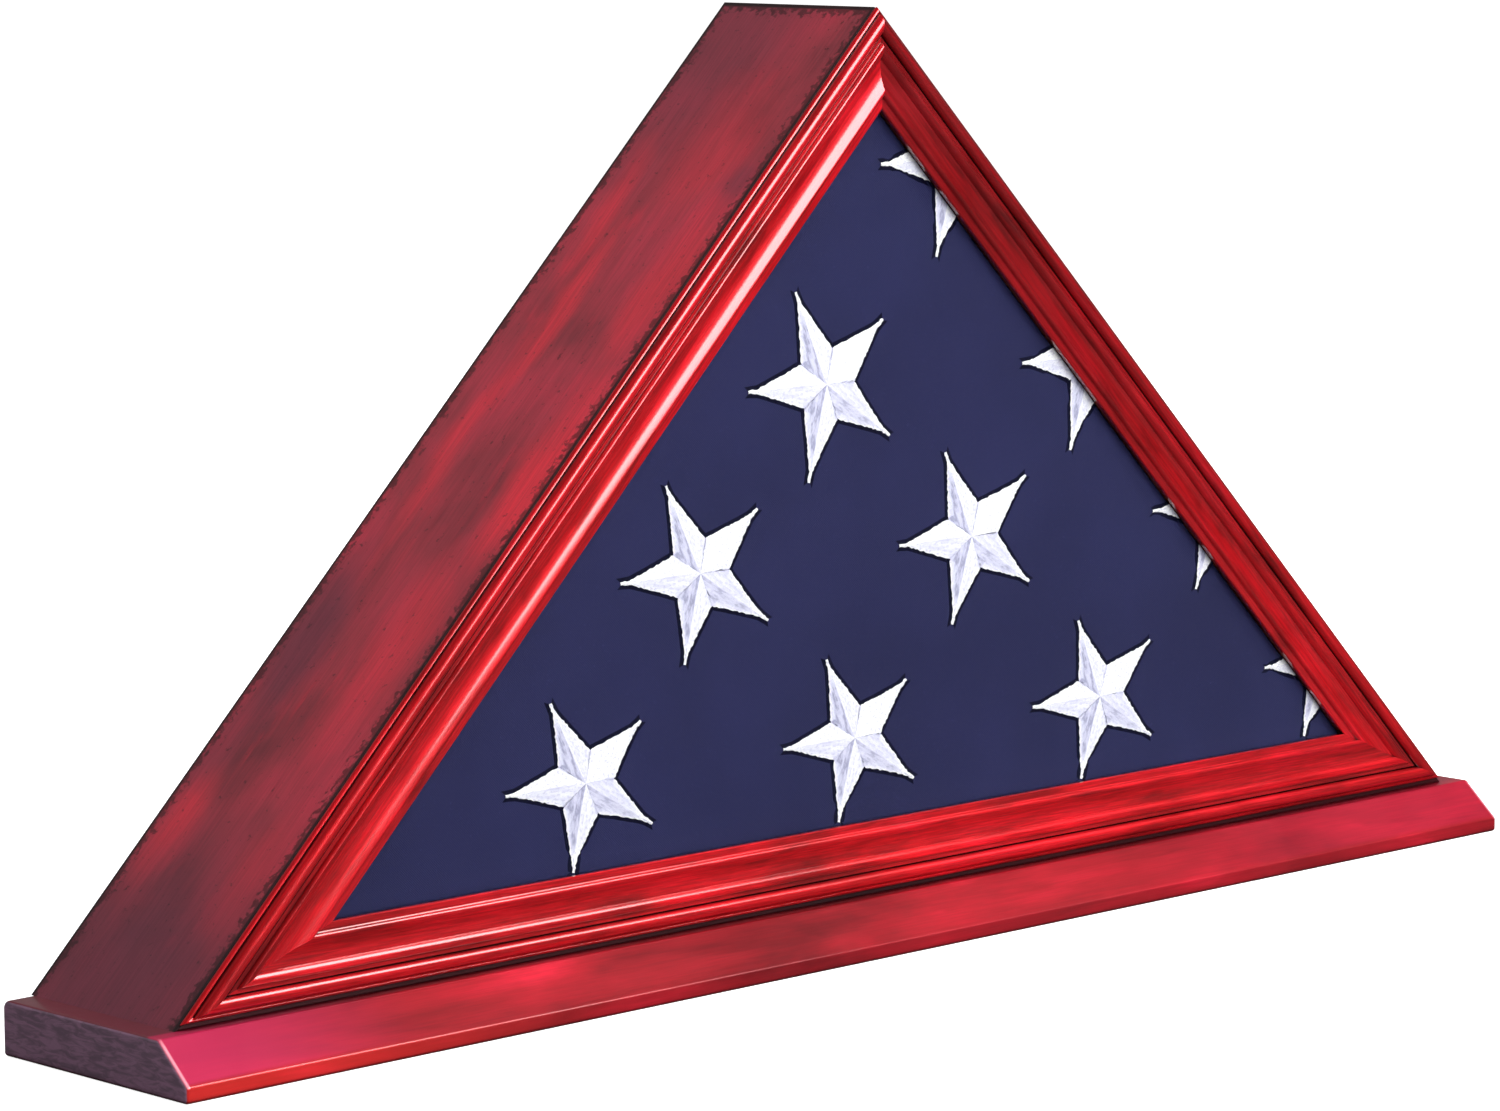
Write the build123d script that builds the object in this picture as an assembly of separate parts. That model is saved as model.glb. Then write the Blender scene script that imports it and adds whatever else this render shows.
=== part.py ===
from build123d import *

import math
import os

os.makedirs("parts", exist_ok=True)

# A triangular display case for a folded flag, on a bevelled plinth. Lengths are in millimetres.
# +X is to the right along the plinth, +Y is towards the back and +Z is up. The origin is at the
# centre of the underside, midway between the plinth's front and the backs of the screw heads.

# Plinth
PLINTH_LENGTH = 662.0
PLINTH_DEPTH = 99.0
PLINTH_THICKNESS = 19.0
BEVEL_RUN = 15.0
BEVEL_FOOT = 5.5
BEVEL_FOOT_ROUND = 1.2
BEVEL_TOP_ROUND = 1.5
PLINTH_EASE = 1.3
PLINTH_REAR_ROUND = 3.0
PLINTH_END_ROUND = 1.2

# Case: a right-angled isosceles triangle that stands on its long side
CASE_HALF_WIDTH = 320.0
CASE_SETBACK = 0.3
CASE_REAR_GAP = 0.4
BOARD_THICKNESS = 11.0
BOARD_FRONT_EASE = 0.6
BOARD_REAR_ROUND = 0.8
REBATE_WIDTH = 3.6

# Front frame: the rails lap the boards' front edges and reach back inside them
FRAME_LIFT = 2.0
LAP_DEPTH = 4.5
RAIL_WIDTH = 25.6
RAIL_DEPTH = 16.0
GLASS_REBATE = 6.0
LIP_BACK = 3.2

# The rail's moulding: widths from the outer edge inwards
OUTER_ROUND = 1.0
OUTER_QUIRK = 0.85
MAIN_BEAD = 5.0
INNER_QUIRK = 0.55
FLAT = 1.5
RIDGE = 1.0
SHOULDER = 3.0
COVE = 7.6
NOSE = 2.1
LIP_QUIRK = 0.3
LIP_EASE = 0.3

# Depths of the moulding behind the main bead's top
OUTER_ROUND_TOP = 2.9
OUTER_QUIRK_FLOOR = 3.3
BEAD_SIDE = 2.5
FLAT_DEPTH = 1.9
RIDGE_TOP = 0.35
SHOULDER_FOOT = 2.15
COVE_TOP = 0.25
NOSE_FOOT = 1.2
LIP_FRONT = 1.4

# How far each curve of the moulding stands off its chord: proud curves are negative
OUTER_ROUND_BOW = -0.35
RIDGE_BOW = -0.3
SHOULDER_BOW = -0.48
COVE_BOW = 0.82
NOSE_BOW = -0.55

# Glass and the strips behind it
GLASS_THICKNESS = 1.5
GLASS_PLAY = 0.5
STRIP_WIDTH = 4.8
STRIP_DEPTH = 5.0
BRAD_RADIUS = 0.6
BRAD_REACH = 4.0
BRAD_DEPTH_SHARE = 0.45
BRADS_PER_STRIP = 3

# Back panel
PANEL_THICKNESS = 3.0
PANEL_SET_IN = 0.2
PANEL_SEAT_GAP = 0.2
PANEL_PLAY = 0.5
PANEL_CORNER = 3.0
FINGER_HOLE_RADIUS = 11.0
FINGER_HOLE_HEIGHT = 120.0

# Turn buttons and their screws
BUTTON_LENGTH = 20.0
BUTTON_WIDTH = 5.0
BUTTON_THICKNESS = 1.2
BUTTON_LIFT = 0.1
BUTTON_INSET = 4.2
BUTTON_HOLE_RADIUS = 1.25
BUTTON_SCREW_RADIUS = 1.2
BUTTON_SCREW_REACH = 12.0
BUTTON_HEAD_RADIUS = 2.2
BUTTON_HEAD_HEIGHT = 1.6
BUTTON_HEAD_ROUND = 0.95
BUTTONS_FROM_MIDDLE = {"bottom": 150.0, "right": 105.0, "left": 105.0}
BUTTON_ENDS = {"bottom": ("left", "right"), "right": ("lower", "upper"), "left": ("upper", "lower")}

# Plinth screws
PLINTH_SCREW_RADIUS = 2.1
PLINTH_SCREW_CLEARANCE = 0.2
PLINTH_SCREW_HEAD_RADIUS = 4.0
PLINTH_SCREW_HEAD_HEIGHT = 2.4
PLINTH_SCREW_SUNK = 0.4
PLINTH_SCREW_BITE = 8.5
PLINTH_SCREW_POINT = 3.2
PLINTH_SCREW_X = 205.0
PLINTH_SCREW_Y = 20.0

# Cross recess in every screw head
RECESS_WIDTH = 0.7
RECESS_SHARE = 0.6
RECESS_DEPTH = 0.9

# V-nails across the frame's mitres
V_NAIL_INSET = 15.5
V_NAIL_RISE = 2.5
V_NAIL_HALF_WIDTH = 3.0
V_NAIL_THICKNESS = 0.8
V_NAIL_DEPTH = 7.0

# Folded flag, a soft solid: a neck inside the frame, and a body behind it that fills the case
FLAG_INSET = 11.5
FLAG_GLASS_GAP = 0.3
FLAG_NECK_PLAY = 0.4
FLAG_NECK_PAST_RAIL = 0.4
FLAG_TAPER = 7.0
FLAG_BODY = 36.5

# Places along Y
REAR_REACH = BUTTON_LIFT * 2 + BUTTON_THICKNESS + BUTTON_HEAD_HEIGHT - CASE_REAR_GAP
PLINTH_FRONT = -(PLINTH_DEPTH + REAR_REACH) / 2
PLINTH_REAR = PLINTH_FRONT + PLINTH_DEPTH
FRAME_FRONT = PLINTH_FRONT + BEVEL_RUN + CASE_SETBACK
CASE_REAR = PLINTH_REAR - CASE_REAR_GAP
BOARD_FRONT = FRAME_FRONT + LAP_DEPTH
PANEL_REAR = CASE_REAR - PANEL_SET_IN
PANEL_FRONT = PANEL_REAR - PANEL_THICKNESS
REBATE_FLOOR = PANEL_FRONT - PANEL_SEAT_GAP
GLASS_FRONT = FRAME_FRONT + LIP_BACK
GLASS_REAR = GLASS_FRONT + GLASS_THICKNESS
FLAG_FRONT = GLASS_REAR + FLAG_GLASS_GAP

# A triangle here is (half width, height of its long side); its peak is one half width higher up.
CASE = (CASE_HALF_WIDTH, PLINTH_THICKNESS)
FRAME = (CASE_HALF_WIDTH - FRAME_LIFT, PLINTH_THICKNESS + FRAME_LIFT)
SIDES = ("bottom", "right", "left")

# How far bars, cutters and mitre wedges run past what they make
OVERSHOOT = 60.0
CUTTER_REACH = 200.0
CUTTER_MARGIN = 1.0
MITRE_SPREAD = 1.3


def inset(triangle, distance):
    """The same triangle with every side moved in by a distance."""
    half, base = triangle
    return half - distance * (1 + math.sqrt(2)), base + distance


def corners(triangle):
    """Left foot, right foot and peak."""
    half, base = triangle
    return [Vector(-half, 0, base), Vector(half, 0, base), Vector(0, 0, base + half)]


def incentre(triangle):
    """The point where the three mitre lines meet."""
    half, base = triangle
    return Vector(0, 0, base + half / (1 + math.sqrt(2)))


def triangle_face(triangle, y):
    """A triangle as a face that stands at one depth."""
    return make_face(Polyline(*[corner + Vector(0, y, 0) for corner in corners(triangle)], close=True))


def triangle_prism(triangle, y_front, y_rear):
    """A triangle run from front to rear."""
    return extrude(triangle_face(triangle, y_front), amount=y_rear - y_front, dir=(0, 1, 0))


def side_plane(triangle, side, share=0.5):
    """A plane across one side, at a share of its length: x points inwards and y points back."""
    start = corners(triangle)[side]
    end = corners(triangle)[(side + 1) % 3]
    along = (end - start).normalized()
    inward = Vector(-along.Z, 0, along.X)
    return Plane(origin=start + (end - start) * share, x_dir=inward, z_dir=-along)


def mitred(section, triangle, side):
    """A section run along one side of a triangle, with its ends cut on the mitre lines."""
    points = corners(triangle)
    start, end, middle = points[side], points[(side + 1) % 3], incentre(triangle)
    run = (end - start).length + 2 * OVERSHOOT
    bar = extrude(side_plane(triangle, side) * section, amount=run / 2, both=True)
    outer = [middle + (point - middle) * MITRE_SPREAD for point in (start, end)]
    wedge = make_face(Polyline(middle, *outer, close=True))
    return bar & extrude(wedge, amount=CUTTER_REACH, dir=(0, 1, 0), both=True)


def plinth_solid():
    """The board that everything stands on, with a bevelled front and rounded edges."""
    rounds = {
        (PLINTH_FRONT, 0): PLINTH_EASE,
        (PLINTH_FRONT, BEVEL_FOOT): BEVEL_FOOT_ROUND,
        (PLINTH_FRONT + BEVEL_RUN, PLINTH_THICKNESS): BEVEL_TOP_ROUND,
        (PLINTH_REAR, PLINTH_THICKNESS): PLINTH_REAR_ROUND,
        (PLINTH_REAR, 0): PLINTH_EASE,
    }
    face = make_face(Polyline(*rounds, close=True))
    for point, radius in rounds.items():
        face = fillet(face.vertices().sort_by_distance(point)[0], radius)
    body = extrude(Plane.YZ * face, amount=PLINTH_LENGTH / 2, both=True)
    ends = body.faces().filter_by(Axis.X)
    return fillet(ends.edges(), PLINTH_END_ROUND)


def board_section():
    """A side board's section: eased outer edges, and the back panel's rebate inside at the rear."""
    outline = [
        (0, BOARD_FRONT),
        (0, CASE_REAR),
        (BOARD_THICKNESS - REBATE_WIDTH, CASE_REAR),
        (BOARD_THICKNESS - REBATE_WIDTH, REBATE_FLOOR),
        (BOARD_THICKNESS, REBATE_FLOOR),
        (BOARD_THICKNESS, BOARD_FRONT),
    ]
    face = make_face(Polyline(*outline, close=True))
    face = chamfer(face.vertices().sort_by_distance((0, BOARD_FRONT))[0], BOARD_FRONT_EASE)
    return fillet(face.vertices().sort_by_distance((0, CASE_REAR))[0], BOARD_REAR_ROUND)


def rail_section():
    """A frame rail's section: beads, a cove and a lip in front, and the glass rebate behind."""
    bead = OUTER_ROUND + OUTER_QUIRK
    bead_end = bead + MAIN_BEAD
    flat = bead_end + INNER_QUIRK
    ridge = flat + FLAT
    crest = ridge + RIDGE
    cove = crest + SHOULDER
    nose = cove + COVE
    nose_end = nose + NOSE
    lip = nose_end + LIP_QUIRK
    wall = RAIL_WIDTH - GLASS_REBATE
    outline = [
        Polyline((wall, RAIL_DEPTH), (0, RAIL_DEPTH), (0, LAP_DEPTH)),
        SagittaArc((0, LAP_DEPTH), (OUTER_ROUND, OUTER_ROUND_TOP), OUTER_ROUND_BOW),
        Line((OUTER_ROUND, OUTER_ROUND_TOP), (bead, OUTER_QUIRK_FLOOR)),
        Line((bead, OUTER_QUIRK_FLOOR), (bead, BEAD_SIDE)),
        SagittaArc((bead, BEAD_SIDE), (bead_end, BEAD_SIDE), -BEAD_SIDE),
        Line((bead_end, BEAD_SIDE), (flat, FLAT_DEPTH)),
        Line((flat, FLAT_DEPTH), (ridge, FLAT_DEPTH)),
        SagittaArc((ridge, FLAT_DEPTH), (crest, RIDGE_TOP), RIDGE_BOW),
        SagittaArc((crest, RIDGE_TOP), (cove, SHOULDER_FOOT), SHOULDER_BOW),
        SagittaArc((cove, SHOULDER_FOOT), (nose, COVE_TOP), COVE_BOW),
        SagittaArc((nose, COVE_TOP), (nose_end, NOSE_FOOT), NOSE_BOW),
        Line((nose_end, NOSE_FOOT), (lip, LIP_FRONT)),
        Line((lip, LIP_FRONT), (RAIL_WIDTH - LIP_EASE, LIP_FRONT)),
        Line((RAIL_WIDTH - LIP_EASE, LIP_FRONT), (RAIL_WIDTH, LIP_FRONT + LIP_EASE)),
        Polyline((RAIL_WIDTH, LIP_FRONT + LIP_EASE), (RAIL_WIDTH, LIP_BACK), (wall, LIP_BACK)),
        Line((wall, LIP_BACK), (wall, RAIL_DEPTH)),
    ]
    return Pos(0, FRAME_FRONT) * make_face(outline)


def strip_section():
    """A glazing strip's section, in the corner between the glass and the rebate's wall."""
    left = RAIL_WIDTH - GLASS_REBATE
    return make_face(
        Polyline(
            (left, GLASS_REAR),
            (left + STRIP_WIDTH, GLASS_REAR),
            (left + STRIP_WIDTH, GLASS_REAR + STRIP_DEPTH / 2),
            (left + STRIP_WIDTH / 2, GLASS_REAR + STRIP_DEPTH),
            (left, GLASS_REAR + STRIP_DEPTH),
            close=True,
        )
    )


def lap_cutter():
    """The space that the boards take, from their front edges back."""
    outer = triangle_prism(inset(CASE, -OVERSHOOT), BOARD_FRONT, CASE_REAR)
    hollow = inset(CASE, BOARD_THICKNESS)
    return outer - triangle_prism(hollow, BOARD_FRONT - CUTTER_MARGIN, CASE_REAR + CUTTER_MARGIN)


def cross_recess(head_radius):
    """A cross cut down into a head whose top is at z = 0."""
    arm = head_radius * 2 * RECESS_SHARE
    return Box(arm, RECESS_WIDTH, RECESS_DEPTH * 2) + Box(RECESS_WIDTH, arm, RECESS_DEPTH * 2)


def plinth_screw():
    """A countersunk wood screw with its head's top at z = 0 and its shank towards -Z."""
    total = PLINTH_THICKNESS - PLINTH_SCREW_SUNK + PLINTH_SCREW_BITE
    outline = Polyline(
        (0, 0),
        (PLINTH_SCREW_HEAD_RADIUS, 0),
        (PLINTH_SCREW_RADIUS, -PLINTH_SCREW_HEAD_HEIGHT),
        (PLINTH_SCREW_RADIUS, PLINTH_SCREW_POINT - total),
        (0, -total),
        close=True,
    )
    return revolve(Plane.XZ * make_face(outline), Axis.Z) - cross_recess(PLINTH_SCREW_HEAD_RADIUS)


def plinth_screw_places():
    """Where the plinth screws stand, each with its head down in the underside."""
    middle = (FRAME_FRONT + RAIL_DEPTH + CASE_REAR) / 2
    for x in (-PLINTH_SCREW_X, PLINTH_SCREW_X):
        for y in (middle - PLINTH_SCREW_Y, middle + PLINTH_SCREW_Y):
            yield Plane(origin=(x, y, PLINTH_SCREW_SUNK), x_dir=(1, 0, 0), z_dir=(0, 0, -1))


def plinth_screw_holes():
    """Clearance holes with countersinks through the plinth."""
    radius = PLINTH_SCREW_RADIUS + PLINTH_SCREW_CLEARANCE
    rim = PLINTH_SCREW_HEAD_RADIUS + PLINTH_SCREW_CLEARANCE
    outline = Polyline(
        (0, CUTTER_MARGIN),
        (rim, CUTTER_MARGIN),
        (rim, 0),
        (radius, -PLINTH_SCREW_HEAD_HEIGHT),
        (radius, -PLINTH_THICKNESS - CUTTER_MARGIN),
        (0, -PLINTH_THICKNESS - CUTTER_MARGIN),
        close=True,
    )
    cutter = revolve(Plane.XZ * make_face(outline), Axis.Z)
    return [place * cutter for place in plinth_screw_places()]


def button_places():
    """Each turn button's name and pivot plane: x points inwards, y back and z along the side."""
    for side, name in enumerate(SIDES):
        plane = side_plane(CASE, side)
        reach = BUTTONS_FROM_MIDDLE[name]
        for end, shift in zip(BUTTON_ENDS[name], (reach, -reach)):
            origin = plane.origin + plane.x_dir * BUTTON_INSET + plane.z_dir * shift
            yield f"{name}_{end}_button", Plane(origin=origin, x_dir=plane.x_dir, z_dir=plane.z_dir)


def turn_button(plane):
    """A flat latch that lies along its side, clear of the panel, with its hole near one end."""
    front = CASE_REAR + BUTTON_LIFT
    half = BUTTON_LENGTH / 2
    blank = SlotOverall(BUTTON_LENGTH, BUTTON_WIDTH)
    blank = Pos(half - BUTTON_WIDTH / 2, 0) * blank - Circle(BUTTON_HOLE_RADIUS)
    lying = Plane(origin=plane.origin + Vector(0, front, 0), x_dir=plane.z_dir, z_dir=(0, 1, 0))
    return extrude(lying * blank, amount=BUTTON_THICKNESS)


def button_screw(plane):
    """The round-headed screw that a turn button pivots on."""
    head_front = CASE_REAR + BUTTON_LIFT * 2 + BUTTON_THICKNESS
    upright = Plane(origin=plane.origin + Vector(0, head_front, 0), x_dir=plane.z_dir, z_dir=(0, 1, 0))
    shank = Cylinder(BUTTON_SCREW_RADIUS, BUTTON_SCREW_REACH, align=(Align.CENTER, Align.CENTER, Align.MAX))
    head = Cylinder(BUTTON_HEAD_RADIUS, BUTTON_HEAD_HEIGHT, align=(Align.CENTER, Align.CENTER, Align.MIN))
    head = fillet(head.edges().sort_by(Axis.Z)[-1], BUTTON_HEAD_ROUND)
    cross = Pos(0, 0, BUTTON_HEAD_HEIGHT) * cross_recess(BUTTON_HEAD_RADIUS)
    return upright * (shank + head - cross)


def back_panel():
    """The thin panel that closes the back, with a hole for a finger."""
    triangle = inset(CASE, BOARD_THICKNESS - REBATE_WIDTH + PANEL_PLAY)
    panel = triangle_prism(triangle, PANEL_FRONT, PANEL_REAR)
    panel = fillet(panel.edges().filter_by(Axis.Y), PANEL_CORNER)
    hole = Plane(origin=(0, CASE_REAR, FINGER_HOLE_HEIGHT), x_dir=(1, 0, 0), z_dir=(0, 1, 0))
    return panel - hole * Cylinder(FINGER_HOLE_RADIUS, CUTTER_REACH)


def brad_places(side):
    """Planes across one glazing strip where a brad goes outwards into the rail."""
    for number in range(BRADS_PER_STRIP):
        share = (number + 1) / (BRADS_PER_STRIP + 1)
        plane = side_plane(FRAME, side, share)
        depth = GLASS_REAR + STRIP_DEPTH * BRAD_DEPTH_SHARE
        reach = RAIL_WIDTH - GLASS_REBATE + STRIP_WIDTH
        head = plane.origin + plane.x_dir * reach + Vector(0, depth, 0)
        yield Plane(origin=head, z_dir=-plane.x_dir)


def brad(plane):
    """A brad that is flush with the strip's inner face."""
    length = STRIP_WIDTH + BRAD_REACH
    return plane * Cylinder(BRAD_RADIUS, length, align=(Align.CENTER, Align.CENTER, Align.MIN))


def v_nail(corner):
    """A folded steel nail across one mitre, driven in from the back of the rails."""
    middle = incentre(FRAME)
    inward = (middle - corner).normalized()
    rise = V_NAIL_RISE / 2
    scale = V_NAIL_INSET / (middle.Z - FRAME[1])
    centre = corner + (middle - corner) * scale + Vector(0, FRAME_FRONT + RAIL_DEPTH, 0)
    plane = Plane(origin=centre, x_dir=inward, z_dir=(0, -1, 0))
    outline = Polyline(
        (rise + V_NAIL_THICKNESS, 0),
        (V_NAIL_THICKNESS - rise, V_NAIL_HALF_WIDTH),
        (-rise, V_NAIL_HALF_WIDTH),
        (rise, 0),
        (-rise, -V_NAIL_HALF_WIDTH),
        (V_NAIL_THICKNESS - rise, -V_NAIL_HALF_WIDTH),
        close=True,
    )
    return extrude(plane * make_face(outline), amount=V_NAIL_DEPTH)


def folded_flag():
    """The flag as one soft solid: a neck that fills the frame, and a block that fills the case."""
    neck = inset(FRAME, RAIL_WIDTH - GLASS_REBATE + STRIP_WIDTH + FLAG_NECK_PLAY)
    body = inset(CASE, FLAG_INSET)
    neck_rear = FRAME_FRONT + RAIL_DEPTH + FLAG_NECK_PAST_RAIL
    shoulder = neck_rear + FLAG_TAPER
    taper = loft([triangle_face(neck, neck_rear), triangle_face(body, shoulder)], ruled=True)
    block = triangle_prism(body, shoulder, shoulder + FLAG_BODY)
    return triangle_prism(neck, FLAG_FRONT, neck_rear) + taper + block


def write(name, shape):
    export_step(shape, f"parts/{name}.step")


def write_group(name, shapes):
    write(name, Compound(children=[shape.solid() for shape in shapes]))


nails = [v_nail(corner) for corner in corners(FRAME)]
buttons = list(button_places())
screws = [button_screw(plane) for _, plane in buttons]
plinth_screws = [place * plinth_screw() for place in plinth_screw_places()]
brads = []

lap = lap_cutter()
for side, name in enumerate(SIDES):
    side_brads = [brad(plane) for plane in brad_places(side)]
    brads += side_brads
    board = mitred(board_section(), CASE, side) - screws
    if name == "bottom":
        board -= plinth_screws
        write("bottom_board", board)
    else:
        write(f"{name}_side_board", board)
    write(f"{name}_frame_rail", mitred(rail_section(), FRAME, side) - lap - side_brads - nails)
    write(f"{name}_glazing_strip", mitred(strip_section(), FRAME, side) - side_brads)

for name, plane in buttons:
    write(name, turn_button(plane))

glass = inset(FRAME, RAIL_WIDTH - GLASS_REBATE + GLASS_PLAY)
write("base_plinth", plinth_solid() - plinth_screw_holes())
write("window_pane", triangle_prism(glass, GLASS_FRONT, GLASS_REAR))
write("back_panel", back_panel())
write("folded_flag", folded_flag())
write_group("button_screws", screws)
write_group("plinth_screws", plinth_screws)
write_group("glazing_brads", brads)
write_group("mitre_v_nails", nails)
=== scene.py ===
import math
import random

import bmesh
import bpy
from mathutils import Matrix, Vector, noise


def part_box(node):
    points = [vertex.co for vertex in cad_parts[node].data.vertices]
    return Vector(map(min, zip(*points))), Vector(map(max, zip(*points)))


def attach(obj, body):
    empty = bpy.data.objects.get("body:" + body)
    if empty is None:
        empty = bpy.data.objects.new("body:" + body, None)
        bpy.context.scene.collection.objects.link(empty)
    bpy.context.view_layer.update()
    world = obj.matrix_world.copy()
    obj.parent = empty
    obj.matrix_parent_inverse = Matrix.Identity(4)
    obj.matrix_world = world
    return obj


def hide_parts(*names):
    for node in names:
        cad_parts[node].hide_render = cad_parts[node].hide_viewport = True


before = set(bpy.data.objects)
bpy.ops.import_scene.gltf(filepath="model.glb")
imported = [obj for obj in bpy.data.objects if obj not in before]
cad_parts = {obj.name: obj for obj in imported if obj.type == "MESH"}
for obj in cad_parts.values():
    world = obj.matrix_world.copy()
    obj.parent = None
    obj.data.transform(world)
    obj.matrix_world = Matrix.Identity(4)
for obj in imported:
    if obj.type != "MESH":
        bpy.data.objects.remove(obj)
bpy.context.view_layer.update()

# Sizes are in metres. +X is to the right along the plinth, -Y is the glass side and +Z is up.
MM = 0.001
SQRT2 = math.sqrt(2)

_, PLINTH_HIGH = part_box("base_plinth")
_, RAIL_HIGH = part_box("bottom_frame_rail")
FLAG_LOW, FLAG_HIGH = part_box("folded_flag")
BOARD_LOW, BOARD_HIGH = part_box("bottom_board")
_, STRIP_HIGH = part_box("bottom_glazing_strip")

# A triangle is (half width, height of its long side); its peak is one half width higher up.
# The frame's foot is lifted off the plinth, and its peak is level with the case's.
FRAME_LIFT = 2 * MM
CASE = (BOARD_HIGH.x, BOARD_LOW.z)
FRAME = (BOARD_HIGH.x - FRAME_LIFT, BOARD_LOW.z + FRAME_LIFT)
SLOPE_LENGTH = CASE[0] * SQRT2
SIDES = ("bottom", "right", "left")


def inset(triangle, distance):
    """The same triangle with every side moved in by a distance."""
    half, base = triangle
    return half - distance * (1 + SQRT2), base + distance


def corners(triangle):
    """The left foot, the right foot and the peak."""
    half, base = triangle
    return [Vector((-half, 0, base)), Vector((half, 0, base)), Vector((0, 0, base + half))]


def edges(triangle):
    """Each side's start, end and outward direction."""
    points = corners(triangle)
    for number in range(3):
        start, end = points[number], points[(number + 1) % 3]
        along = (end - start).normalized()
        yield start, end, Vector((along.z, 0, -along.x))


def smooth(value, low, high):
    """From 0 at low to 1 at high, eased at both ends."""
    share = min(1.0, max(0.0, (value - low) / (high - low)))
    return share * share * (3 - 2 * share)


# ---------------------------------------------------------------- node trees

class Tree:
    """A node tree, written as nested calls: an input is a number, a colour or a socket."""

    def __init__(self, name, owners="materials"):
        self.owner = getattr(bpy.data, owners).new(name)
        self.owner.use_nodes = True
        self.nodes = self.owner.node_tree.nodes
        self.links = self.owner.node_tree.links
        self.nodes.clear()

    def add(self, kind, output=0, inputs=None, **settings):
        """Adds a node and gives one of its outputs."""
        node = self.nodes.new("ShaderNode" + kind)
        for key, value in settings.items():
            setattr(node, key, value)
        for key, value in (inputs or {}).items():
            if isinstance(value, bpy.types.NodeSocket):
                self.links.new(value, node.inputs[key])
            else:
                node.inputs[key].default_value = value
        return node.outputs[output]

    def place(self):
        """Where a point is in the row frame, in metres."""
        return self.add("TexCoord", "Object")

    def axes(self, vector):
        """A vector's three parts."""
        node = self.nodes.new("ShaderNodeSeparateXYZ")
        self.links.new(vector, node.inputs[0])
        return node.outputs[0], node.outputs[1], node.outputs[2]

    def mapped(self, vector, scale=(1, 1, 1), location=(0, 0, 0)):
        return self.add("Mapping", inputs={"Vector": vector, "Scale": scale, "Location": location})

    def noise(self, vector, scale, detail=3.0, roughness=0.55, distortion=0.0):
        return self.add("TexNoise", inputs={
            "Vector": vector, "Scale": scale, "Detail": detail,
            "Roughness": roughness, "Distortion": distortion,
        })

    def math(self, operation, a, b=0.0, clamp=False):
        return self.add("Math", inputs={0: a, 1: b}, operation=operation, use_clamp=clamp)

    def vectors(self, operation, a, b):
        return self.add("VectorMath", inputs={0: a, 1: b}, operation=operation)

    def ranged(self, value, low, high, to_low=0.0, to_high=1.0):
        """One range eased onto another, and held at its ends."""
        return self.add("MapRange", interpolation_type="SMOOTHSTEP", inputs={
            "Value": value, "From Min": low, "From Max": high, "To Min": to_low, "To Max": to_high,
        })

    def mix(self, factor, a, b, blend="MIX"):
        """Two colours mixed."""
        return self.add("Mix", 2, {0: factor, 6: a, 7: b}, data_type="RGBA", blend_type=blend)

    def between(self, factor, a, b):
        """Two numbers mixed."""
        return self.add("Mix", inputs={0: factor, 2: a, 3: b})

    def shaded(self, colour, factor):
        """A colour times a number."""
        grey = self.add("CombineXYZ", inputs={0: factor, 1: factor, 2: factor})
        return self.mix(1.0, colour, grey, "MULTIPLY")

    def ramp(self, factor, *stops):
        """A colour ramp, with each stop given as position and colour."""
        node = self.nodes.new("ShaderNodeValToRGB")
        elements = node.color_ramp.elements
        while len(elements) < len(stops):
            elements.new(0.5)
        for element, (position, colour) in zip(elements, stops):
            element.position = position
            element.color = colour
        self.links.new(factor, node.inputs[0])
        return node.outputs[0]

    def bump(self, height, strength, distance, normal=None):
        inputs = {"Height": height, "Strength": strength, "Distance": distance}
        if normal is not None:
            inputs["Normal"] = normal
        return self.add("Bump", inputs=inputs)

    def blotch(self, vector, centre, reach):
        """A soft patch: 1 at its centre and 0 at its rim."""
        scaled = self.vectors("DIVIDE", self.vectors("SUBTRACT", vector, centre), reach)
        length = self.add("VectorMath", 1, {0: scaled}, operation="LENGTH")
        return self.ranged(length, 1.0, 0.15)

    def blotches(self, vector, places):
        """The strongest of several soft patches, each given as centre, reach and strength."""
        total = 0.0
        for centre, reach, strength in places:
            patch = self.math("MULTIPLY", self.blotch(vector, centre, reach), strength)
            total = self.math("MAXIMUM", total, patch)
        return total

    def finish(self, shader, output="Material"):
        node = self.nodes.new("ShaderNodeOutput" + output)
        self.links.new(shader, node.inputs["Surface"])
        return self.owner

    def principled(self, inputs):
        """Finishes a material with one principled shader."""
        return self.finish(self.add("BsdfPrincipled", inputs=inputs))


def srgb(red, green, blue):
    """A colour given as 0 to 255 display values, as linear light."""
    def linear(value):
        value /= 255
        return value / 12.92 if value <= 0.04045 else ((value + 0.055) / 1.055) ** 2.4
    return (linear(red), linear(green), linear(blue), 1.0)


# ---------------------------------------------------------------- wood

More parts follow.
